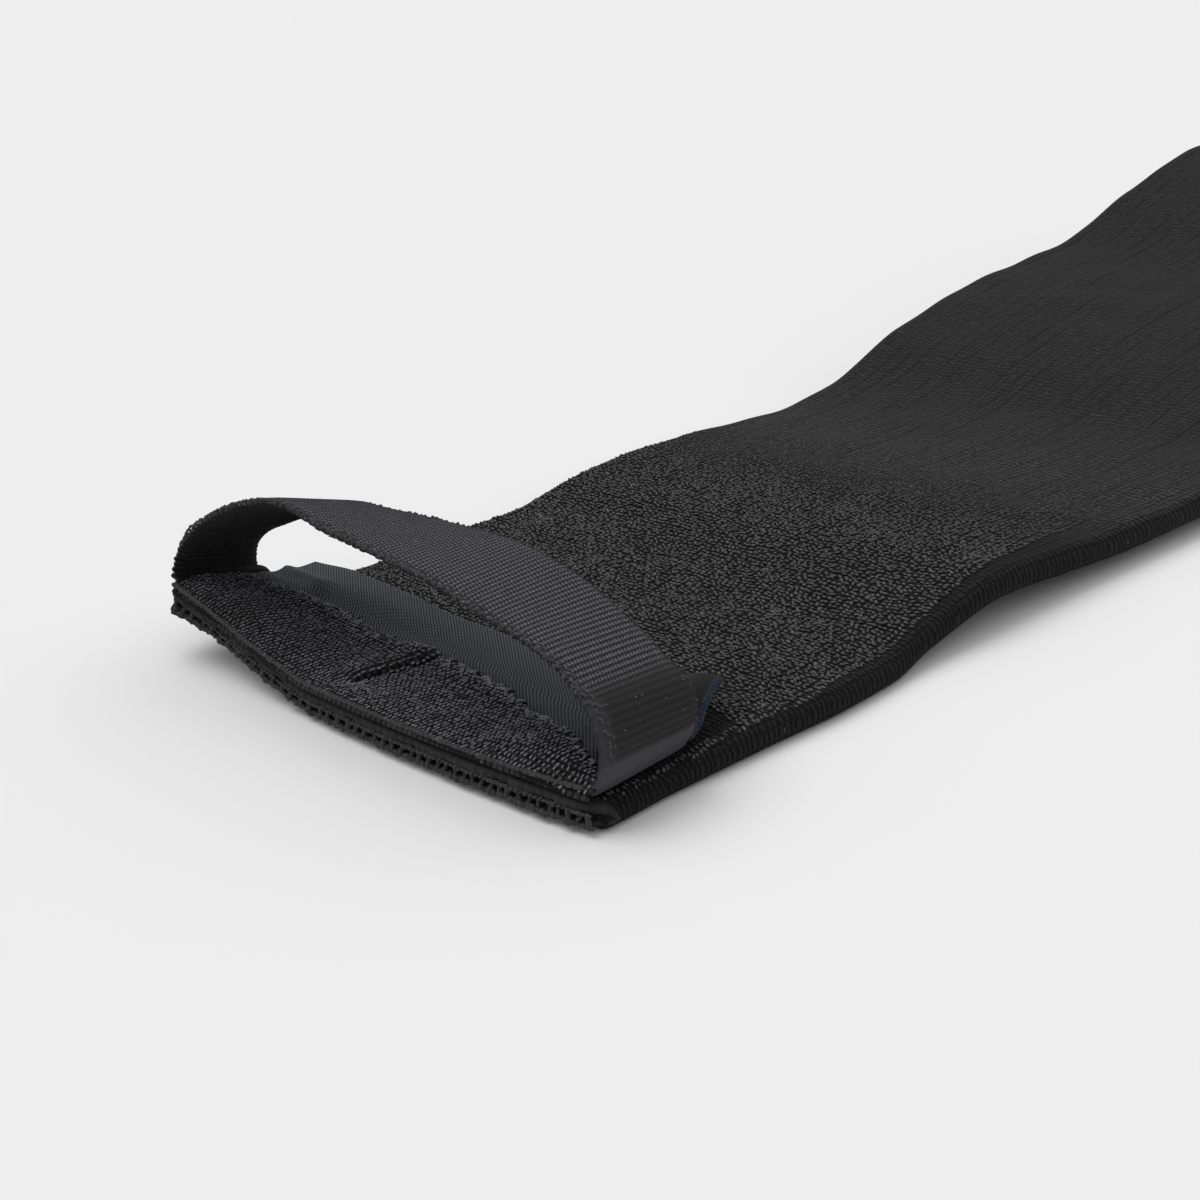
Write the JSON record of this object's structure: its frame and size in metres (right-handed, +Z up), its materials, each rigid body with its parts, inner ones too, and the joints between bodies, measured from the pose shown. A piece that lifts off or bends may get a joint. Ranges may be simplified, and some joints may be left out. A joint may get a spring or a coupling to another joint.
{
  "type": "wrist wrap",
  "caption": "Black knitted elastic wrist wrap lying in loose waves, with a folded hem, sewn-in label and webbing thumb loop at one end and a hook tab at the other.",
  "frame": {"origin": "centre of the bounding box's bottom face, on the surface that the wrap lies on", "axes": "+X along the band from the thumb-loop end to the hook tab, +Y across it towards the edge whose hem corner is lifted, +Z up"},
  "size_m": [0.2998, 0.0829, 0.0232],
  "materials": {
    "knit_band": "ribbed elastic knit",
    "knit_hem": "fine elastic knit",
    "label_satin": "woven satin",
    "loop_webbing": "ribbed elastic webbing",
    "hook_tape": "hook tape, matte"
  },
  "bodies": {
    "root": {"wrap_band": "knit_band", "hem_flap": "knit_hem", "label": "label_satin", "thumb_loop": "loop_webbing", "hook_tab": "hook_tape"}
  },
  "joints": []
}
